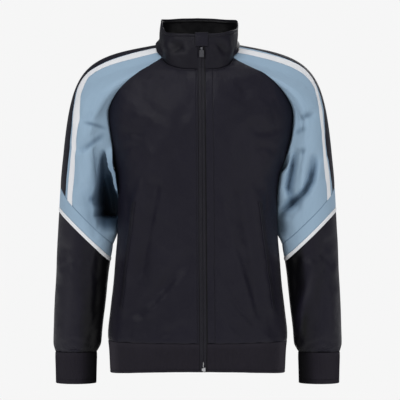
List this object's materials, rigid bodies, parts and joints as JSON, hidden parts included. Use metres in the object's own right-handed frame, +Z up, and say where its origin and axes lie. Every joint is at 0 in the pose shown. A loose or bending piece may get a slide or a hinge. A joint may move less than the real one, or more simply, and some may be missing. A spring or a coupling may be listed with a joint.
{
  "type": "track jacket",
  "caption": "Zip-through track jacket with raglan sleeves, stand collar, ribbed hem and cuffs, and taped stripes down the arms, filled out with no wearer.",
  "frame": {"origin": "centre of the hollow at the base of the neck, level with the shoulders, where the wearer's shoulders and neck hold the jacket up", "axes": "+Z up, -Y towards the front with the zip, +X towards the viewer's right when the front is seen"},
  "size_m": [0.6078, 0.251, 0.776],
  "materials": {
    "navy_knit": "satin",
    "rib_knit": "matte",
    "light_blue_knit": "satin",
    "white_knit": "satin",
    "zip_tape": "matte",
    "zip_metal": "satin"
  },
  "bodies": {
    "jacket": {"front_left": "navy_knit", "front_right": "navy_knit", "back": "navy_knit", "hem_band": "rib_knit", "collar": "navy_knit", "chin_guard": "navy_knit", "zip_tape_left": "zip_tape", "zip_tape_right": "zip_tape", "zip_chain": "zip_tape", "zip_slider": "zip_metal", "zip_bottom_stop": "zip_metal", "pocket_welt_left": "navy_knit", "pocket_welt_right": "navy_knit", "sleeve_front_left": "light_blue_knit", "sleeve_back_left": "light_blue_knit", "stripe_panel_left": "navy_knit", "tape_front_left": "white_knit", "tape_back_left": "white_knit", "sleeve_band_left": "light_blue_knit", "piping_left": "white_knit", "lower_sleeve_left": "navy_knit", "cuff_left": "rib_knit", "sleeve_front_right": "light_blue_knit", "sleeve_back_right": "light_blue_knit", "stripe_panel_right": "navy_knit", "tape_front_right": "white_knit", "tape_back_right": "white_knit", "sleeve_band_right": "light_blue_knit", "piping_right": "white_knit", "lower_sleeve_right": "navy_knit", "cuff_right": "rib_knit"},
    "pull_tab": {"zip_pull_tab": "zip_metal"}
  },
  "joints": [
    {"name": "pull_tab_hinge", "type": "hinge", "parent": "jacket", "child": "pull_tab", "pos_m": [0.00837, -0.08869, -0.014], "axis": [-1, 0, 0], "range_deg": [0, 160]}
  ]
}
